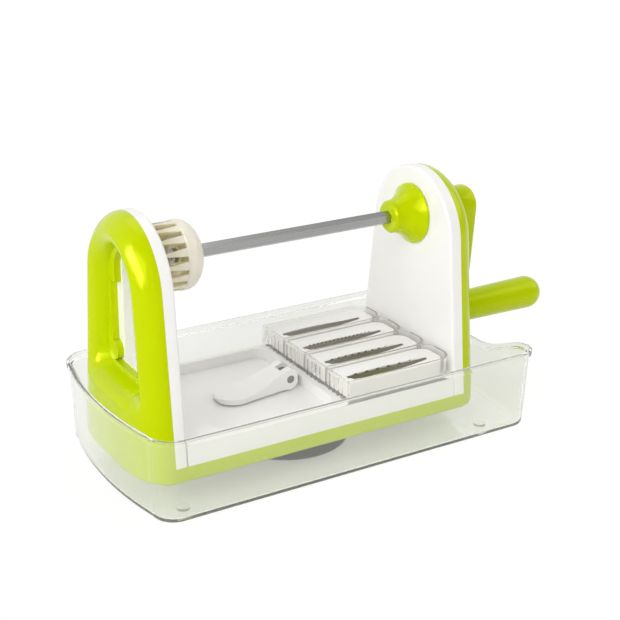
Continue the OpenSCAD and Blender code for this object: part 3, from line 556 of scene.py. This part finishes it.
def add_piece(name, parts, material, body, sharp):
    """One mesh object from several closed surfaces, each given as points and faces.

    It rides on a body, and its edges are sharp above that angle in degrees.
    """
    points, faces, start = [], [], 0
    for part_points, part_faces in parts:
        points.append(part_points)
        faces.extend((face + start).tolist() for face in part_faces)
        start += len(part_points)
    mesh = bpy.data.meshes.new(name)
    mesh.from_pydata(np.concatenate(points).tolist(), [], [f for group in faces for f in group])
    mesh.polygons.foreach_set("use_smooth", np.ones(len(mesh.polygons), bool))
    mesh.set_sharp_from_angle(angle=math.radians(sharp))
    mesh.materials.append(material)
    piece = bpy.data.objects.new(name, mesh)
    bpy.context.scene.collection.objects.link(piece)
    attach(piece, body)
    return piece


def capped_rings(rings):
    """A closed surface through rings of equal counts, with a flat fan on the first and the last.

    rings has shape (rings, points, 3). Each ring runs counter-clockwise as seen from above, and the
    rings run up the outside, over the edge and down the inside, so that all faces point outwards.
    """
    count, n = rings.shape[:2]
    points = np.concatenate([rings.reshape(-1, 3), rings[:1].mean(1), rings[-1:].mean(1)])
    first = np.arange((count - 1) * n).reshape(count - 1, n)
    beside = np.roll(first, -1, 1)
    sides = np.stack([first, beside, beside + n, first + n], -1).reshape(-1, 4)
    ring = np.arange(n)
    after = np.roll(ring, -1)
    low = np.stack([np.full(n, count * n), after, ring], -1)
    top = (count - 1) * n
    high = np.stack([np.full(n, count * n + 1), top + ring, top + after], -1)
    return points, [sides, low, high]


def turned(profile, steps, centre=(0.0, 0.0)):
    """A surface of revolution about an upright axis.

    Each (radius, height) of the profile becomes a ring.
    """
    turn = np.linspace(0, 2 * np.pi, steps, endpoint=False)
    profile = np.asarray(profile, float)
    around = np.stack([np.cos(turn), np.sin(turn)], -1)
    flat = profile[:, None, :1] * around[None] + np.asarray(centre)
    high = np.broadcast_to(profile[:, None, 1:], (*flat.shape[:2], 1))
    return capped_rings(np.concatenate([flat, high], -1))


def tray_plan(size):
    """The tray's plan as arrays: skeleton points, outward directions and corner radii.

    The two ends are parabolas that bow out between the corner centres, the corners are quarter turns
    and the sides are straight. An outline is the skeleton moved outwards by the local radius.
    """
    right_x = size.right - size.bow - size.crank_corner
    right_y = size.half_width - size.crank_corner
    left_x = -size.left + size.bow + size.blade_corner
    left_y = size.half_width - size.blade_corner
    span = np.linspace(-1, 1, END_POINTS)[1:-1]
    turn = np.linspace(0, np.pi / 2, CORNER_POINTS)
    run = np.linspace(0, 1, SIDE_POINTS)[1:-1]

    def end(x, y, way, radius):
        line = np.stack([x + way * size.bow * (1 - span**2), way * y * span], -1)
        return line, np.tile([way, 0.0], (len(span), 1)), np.full(len(span), radius)

    def corner(x, y, begin, radius):
        ways = np.stack([np.cos(turn + begin), np.sin(turn + begin)], -1)
        return np.tile([x, y], (len(turn), 1)), ways, np.full(len(turn), radius)

    def side(a, b, ra, rb, way):
        line = np.outer(1 - run, a) + np.outer(run, b)
        return line, np.tile([0.0, way], (len(run), 1)), ra + (rb - ra) * run

    big, small = size.blade_corner, size.crank_corner
    parts = [
        end(right_x, right_y, 1, small),
        corner(right_x, right_y, 0, small),
        side((right_x, right_y), (left_x, left_y), small, big, 1),
        corner(left_x, left_y, np.pi / 2, big),
        end(left_x, left_y, -1, big),
        corner(left_x, -left_y, np.pi, big),
        side((left_x, -left_y), (right_x, -right_y), big, small, -1),
        corner(right_x, -right_y, 1.5 * np.pi, small),
    ]
    return [np.concatenate(group) for group in zip(*parts)]


def tray_rings(size):
    """The tray's wall as rings.

    They go round the floor's edge, up the drafted wall, over the stepped lip and down inside. The rim
    is the tray's height less one cosine wave across the crank end, with a flat at its foot.
    """
    line, way, radius = tray_plan(size)
    across = np.abs(line[:, 1] + radius * way[:, 1])
    t = np.clip((across - size.dip_flat) / (size.dip_half_width - size.dip_flat), 0, 1)
    dip = np.where(line[:, 0] > 0, size.dip_depth * (1 + np.cos(np.pi * t)) / 2, 0)
    rim = size.height - dip

    def ring(height, inward):
        grown = radius - size.draft * (1 - height / size.height) - inward
        return np.column_stack([line + grown[:, None] * way, np.broadcast_to(height, rim.shape)])

    edge = np.linspace(0, np.pi / 2, ROUND_POINTS)
    rounding = size.floor_round
    inner = size.floor_round - size.wall / 2
    inside = size.wall - size.lip_width
    soft = size.lip_edge
    low = size.lip_height
    step = size.lip_height - size.lip_wall
    level = np.full(len(rim), 1.0)
    outer = [
        ring(rounding * (1 - np.cos(a)) * level, rounding * (1 - np.sin(a)))
        for a in edge]
    climb = [ring(rounding + (rim - low - rounding) * k, 0) for k in QUARTERS]
    lip = [
        ring(rim - low, 0), ring(rim - low + 0.3 * soft, -0.8 * size.lip_width),
        ring(rim - low + soft, -size.lip_width), ring(rim - soft, -size.lip_width),
        ring(rim - 0.3 * soft, 0.3 * soft - size.lip_width), ring(rim, soft - size.lip_width),
        ring(rim, inside - 0.4 * soft), ring(rim - 0.4 * soft, inside),
        ring(rim - step + soft, inside), ring(rim - step, size.wall)]
    fall = [ring(rim - step - (rim - step - size.wall - inner) * k, size.wall) for k in QUARTERS]
    floor = [
        ring((size.wall + inner * (1 - np.cos(a))) * level, size.wall + inner * (1 - np.sin(a)))
        for a in edge[::-1]]
    return np.stack(outer + climb + lip + fall + floor)


class SPIRALIZER_OT_tray(bpy.types.Operator):
    """Make the clear tray, and let it stand for the CAD tray"""

    bl_idname = "spiralizer.tray"
    bl_label = "Clear tray"

    def execute(self, context):
        size, look = context.scene.spiralizer_tray, context.scene.spiralizer_finishes
        material = clear_plastic("tray_clear", look.clear, look.tray_haze, TRAY_BEND)
        ends = (BOSS_FROM_BLADE_END - size.left, size.right - BOSS_FROM_CRANK_END)
        places = [(x, side * (size.half_width - BOSS_FROM_SIDE)) for x in ends for side in (-1, 1)]
        bosses = [turned(BOSS_PROFILE, BOSS_STEPS, place) for place in places]
        parts = [capped_rings(tray_rings(size))] + bosses
        piece = add_piece("clear_tray", parts, material, "tray", TRAY_SHARP)
        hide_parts("tray")
        return {"FINISHED"}


class SPIRALIZER_OT_cup(bpy.types.Operator):
    """Make the rubber cup, and dress the feet"""

    bl_idname = "spiralizer.cup"
    bl_label = "Suction cup and feet"

    def execute(self, context):
        size, look = context.scene.spiralizer_cup, context.scene.spiralizer_finishes
        material = cup_rubber("cup_rubber", look.rubber)
        low, top = CUP_LOW.z, CUP_HIGH.z
        plate_top = top - size.roof
        plate_low = plate_top - size.pocket
        rise = plate_low - size.floor - low
        run = np.linspace(0, 1, CUP_CURVE_POINTS)
        back = run[::-1]
        half = size.skirt / 2
        under = np.stack([
            size.boss + (size.radius - CUP_RIM_WIDTH - size.boss) * run,
            low + rise * (1 - run) ** CUP_UNDER_CURVE], -1)
        over = np.stack([
            size.boss + CUP_FILLET + (size.radius - CUP_RIM_INSET - size.boss) * back,
            low + half + (rise + half) * (1 - back) ** CUP_OVER_CURVE], -1)
        rim = np.array([[size.radius, low], [size.radius, low + CUP_RIM_HEIGHT]])
        boss = np.array([
            [size.boss, top - CUP_BOSS_DROP], [size.boss - CUP_BOSS_EDGE, top],
            [size.stem, top], [size.stem, plate_top], [size.plate, plate_top],
            [size.plate, plate_low], [CUP_MIDDLE, plate_low]])
        start = np.array([[CUP_MIDDLE, low + rise]])
        cup = turned(np.concatenate([start, under, rim, over[1:], boss]), CUP_STEPS)
        piece = add_piece("rubber_cup", [cup], material, "machine", CUP_SHARP)
        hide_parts("suction_cup")
        pull = next(j for j in frame["record"]["behaviour"]["joints"] if j["name"] == "stem_pull")
        keep = 1 + pull["range_m"][0] / ((plate_top + plate_low) / 2 - low)
        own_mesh(piece)
        dress(["base_feet"], cup_rubber("foot_rubber", look.rubber))
        return {"FINISHED"}


class SPIRALIZER_OT_lime(bpy.types.Operator):
    """Dress the green mouldings: pan, tower shells, sleeve, crank arm and grip"""

    bl_idname = "spiralizer.lime"
    bl_label = "Lime mouldings"

    def execute(self, context):
        look = context.scene.spiralizer_finishes
        dress(LIME_NODES, moulded("lime_gloss", look.lime, look.gloss, tint=look.lime_sheen))
        return {"FINISHED"}


class SPIRALIZER_OT_white(bpy.types.Operator):
    """Dress the white mouldings: bed, tower faces and lever"""

    bl_idname = "spiralizer.white"
    bl_label = "White mouldings"

    def execute(self, context):
        look = context.scene.spiralizer_finishes
        dress(WHITE_NODES, moulded("white_satin", look.white, look.gloss + 0.1, 0.015))
        return {"FINISHED"}


class SPIRALIZER_OT_holder(bpy.types.Operator):
    """Dress the ivory food holder"""

    bl_idname = "spiralizer.holder"
    bl_label = "Food holder"

    def execute(self, context):
        look = context.scene.spiralizer_finishes
        material = holder_plastic("holder_ivory", look.ivory, look.ivory_painted_shade, look.gloss + 0.14)
        dress(["food_holder"], material)
        return {"FINISHED"}


class SPIRALIZER_OT_blades(bpy.types.Operator):
    """Dress the blade set: clear box, white carriers, blades and combs"""

    bl_idname = "spiralizer.blades"
    bl_label = "Blade set"

    def execute(self, context):
        look = context.scene.spiralizer_finishes
        dress(["blade_box"], clear_plastic("box_clear", look.box, look.box_haze, BOX_BEND))
        carrier = moulded("carrier_white", look.white, look.gloss + 0.06, 0.02)
        dress(CARRIER_NODES, carrier, CARRIER_EDGE)
        # The blades' colour holds painted shade of the slots besides the steel's tone
        dress(EDGE_NODES, brushed("blade_steel", look.blade_steel_and_shade, 0.24, BLADE_LINES))
        return {"FINISHED"}


class SPIRALIZER_OT_steel(bpy.types.Operator):
    """Dress the rod, the screws, the clip, the axle, the stem and the lever's pin"""

    bl_idname = "spiralizer.steel"
    bl_label = "Steel parts"

    def execute(self, context):
        look = context.scene.spiralizer_finishes
        dress(["rod"], brushed("rod_steel", look.steel, 0.22, ROD_LINES))
        dress(SCREW_NODES, brushed("screw_steel", look.steel, 0.3, SCREW_LINES))
        dress(PIN_NODES, brushed("pin_steel", look.dull, 0.38, PIN_LINES))
        return {"FINISHED"}


class SPIRALIZER_OT_studio(bpy.types.Operator):
    """Set the camera, the soft lights, the even room light and the pale floor"""

    bl_idname = "spiralizer.studio"
    bl_label = "Studio"

    def execute(self, context):
        studio = context.scene.spiralizer_studio
        self.camera(context.scene, studio)
        self.lights(context.scene, studio)
        self.room(context.scene, studio)
        self.floor(context.scene, studio)
        context.scene.view_settings.view_transform = "Standard"
        return {"FINISHED"}

    def camera(self, scene, studio):
        """The view direction from yaw and pitch, then rolled about itself."""
        ahead = Vector((math.sin(studio.yaw) * math.cos(studio.pitch),
                        math.cos(studio.yaw) * math.cos(studio.pitch), -math.sin(studio.pitch)))
        right = Vector((math.cos(studio.yaw), -math.sin(studio.yaw), 0))
        down = ahead.cross(right)
        across = math.cos(studio.roll) * right + math.sin(studio.roll) * down
        up = math.sin(studio.roll) * right - math.cos(studio.roll) * down
        data = bpy.data.cameras.new("photo_view")
        data.lens = studio.lens
        data.sensor_width = SENSOR_WIDTH
        data.clip_start = CLIP_START
        data.clip_end = CLIP_END
        camera = bpy.data.objects.new("photo_view", data)
        camera.matrix_world = Matrix((across, up, -ahead)).transposed().to_4x4()
        camera.location = studio.place
        scene.collection.objects.link(camera)
        scene.camera = camera

    def lights(self, scene, studio):
        """Large soft lamps aimed at the middle of the object."""
        lamps = [
            ("key_light", studio.key, (-1.25, -0.55, 0.75), 0.9, 0.9),
            ("strip_light", studio.strip, (-0.6, -1.2, 0.6), 0.12, 0.9),
            ("fill_light", studio.fill, (1.15, -0.4, 0.85), 0.8, 0.8),
            ("top_light", studio.fill, (0.1, 0.5, 1.4), 1.0, 1.0)]
        for name, power, place, width, height in lamps:
            data = bpy.data.lights.new(name, "AREA")
            data.shape = "RECTANGLE"
            data.size = width
            data.size_y = height
            data.energy = power
            lamp = bpy.data.objects.new(name, data)
            lamp.location = place
            aim = LAMP_AIM - Vector(place)
            lamp.rotation_euler = aim.to_track_quat("-Z", "Y").to_euler()
            scene.collection.objects.link(lamp)

    def room(self, scene, studio):
        """Even light on the object, and white where the room is seen.

        In gloss the room is white at the back and dim in front. A slanting white card to the left shows
        in gloss alone: it is where the direction lies within its half length and half width of its
        middle.
        """
        world = bpy.data.worlds.new("studio_room")
        world.use_nodes = True
        scene.world = world
        finish = Finish(world.node_tree)
        way = finish.node("ShaderNodeTexCoord").outputs["Generated"]
        back = finish.along(way, (0, 1, 0)).rise(*BACK_FADE)
        ahead = finish.along(way, CARD_MIDDLE).rise(*CARD_AHEAD)
        lengthways = finish.along(way, CARD_RUN) - CARD_MIDDLE.dot(CARD_RUN)
        sideways = finish.along(way, CARD_MIDDLE.cross(CARD_RUN))
        in_length = 1 - (lengthways ** 2.0).rise(*CARD_LENGTH)
        in_width = 1 - (sideways ** 2.0).rise(*CARD_WIDTH)
        card = ahead * in_length * in_width
        mirrored = studio.dark_side + (1 - studio.dark_side) * back + studio.card * card
        seen = finish.rays("Is Camera Ray", "Is Transmission Ray")
        gloss = finish.rays("Is Glossy Ray") * (1 - seen)
        strength = seen + gloss * mirrored + studio.ambient * (1 - seen) * (1 - gloss)
        light = finish.node("ShaderNodeBackground", None, {"Color": (1, 1, 1, 1), "Strength": strength})
        finish.node("ShaderNodeOutputWorld", None, {"Surface": light.outputs[0]})

    def floor(self, scene, studio):
        """A round floor just under the tray, in rings about the middle, white to the eye far out."""
        material, finish = new_finish("floor_white")
        matte = finish.node("ShaderNodeBsdfDiffuse", None, {"Color": (*FLOOR_TONE, 1)})
        bright = finish.node(
            "ShaderNodeEmission", None, {"Color": (1, 1, 1, 1), "Strength": FLOOR_WHITE})
        seen = finish.rays("Is Camera Ray")
        passed = finish.rays("Is Glossy Ray", "Is Transmission Ray") * (1 - seen)
        place = finish.node("ShaderNodeTexCoord").outputs["Object"]
        away = finish.node("ShaderNodeVectorMath", {"operation": "LENGTH"}, {0: place})
        far = finish.number(away, "Value").rise(*FLOOR_FAR)
        glow = (FLOOR_NEAR_GLOW + FLOOR_FAR_GLOW * far) * seen + FLOOR_PASSED_GLOW * passed
        mix = finish.node(
            "ShaderNodeMixShader", None, {0: glow, 1: matte.outputs[0], 2: bright.outputs[0]})
        finish.node("ShaderNodeOutputMaterial", None, {"Surface": mix.outputs[0]})
        radius = studio.floor_radius * np.linspace(1, FLOOR_MIDDLE, FLOOR_RINGS)
        drop = np.linspace(FLOOR_EDGE, FLOOR_TOP, FLOOR_RINGS) * MM
        points, faces = turned(np.stack([radius, drop], -1), FLOOR_STEPS)
        mesh = bpy.data.meshes.new("floor")
        mesh.from_pydata(points.tolist(), [], [f for group in faces for f in group.tolist()])
        mesh.materials.append(material)
        floor = bpy.data.objects.new("floor", mesh)
        scene.collection.objects.link(floor)


OPERATORS = (
    SPIRALIZER_OT_tray, SPIRALIZER_OT_cup, SPIRALIZER_OT_lime, SPIRALIZER_OT_white, SPIRALIZER_OT_holder,
    SPIRALIZER_OT_blades, SPIRALIZER_OT_steel, SPIRALIZER_OT_studio)
GROUPS = {
    "spiralizer_finishes": SpiralizerFinishes,
    "spiralizer_tray": SpiralizerTray,
    "spiralizer_cup": SpiralizerCup,
    "spiralizer_studio": SpiralizerStudio,
}


class SPIRALIZER_PT_panel(bpy.types.Panel):
    """Sizes, colours and steps of the spiralizer's dressing"""

    bl_idname = "SPIRALIZER_PT_panel"
    bl_label = "Spiralizer"
    bl_space_type = "VIEW_3D"
    bl_region_type = "UI"
    bl_category = "Spiralizer"

    def draw(self, context):
        for group, kind in GROUPS.items():
            box = self.layout.box()
            for name in kind.__annotations__:
                box.prop(getattr(context.scene, group), name)
        for operator in OPERATORS:
            self.layout.operator(operator.bl_idname)


def register():
    for kind in (*GROUPS.values(), *OPERATORS, SPIRALIZER_PT_panel):
        bpy.utils.register_class(kind)
    for name, kind in GROUPS.items():
        setattr(bpy.types.Scene, name, bpy.props.PointerProperty(type=kind))


def unregister():
    for name in GROUPS:
        delattr(bpy.types.Scene, name)
    for kind in (SPIRALIZER_PT_panel, *reversed(OPERATORS), *reversed(GROUPS.values())):
        bpy.utils.unregister_class(kind)


def main():
    """Registers the add-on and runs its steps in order."""
    register()
    bpy.ops.spiralizer.tray()
    bpy.ops.spiralizer.cup()
    bpy.ops.spiralizer.lime()
    bpy.ops.spiralizer.white()
    bpy.ops.spiralizer.holder()
    bpy.ops.spiralizer.blades()
    bpy.ops.spiralizer.steel()
    bpy.ops.spiralizer.studio()


if __name__ == "__main__":
    main()
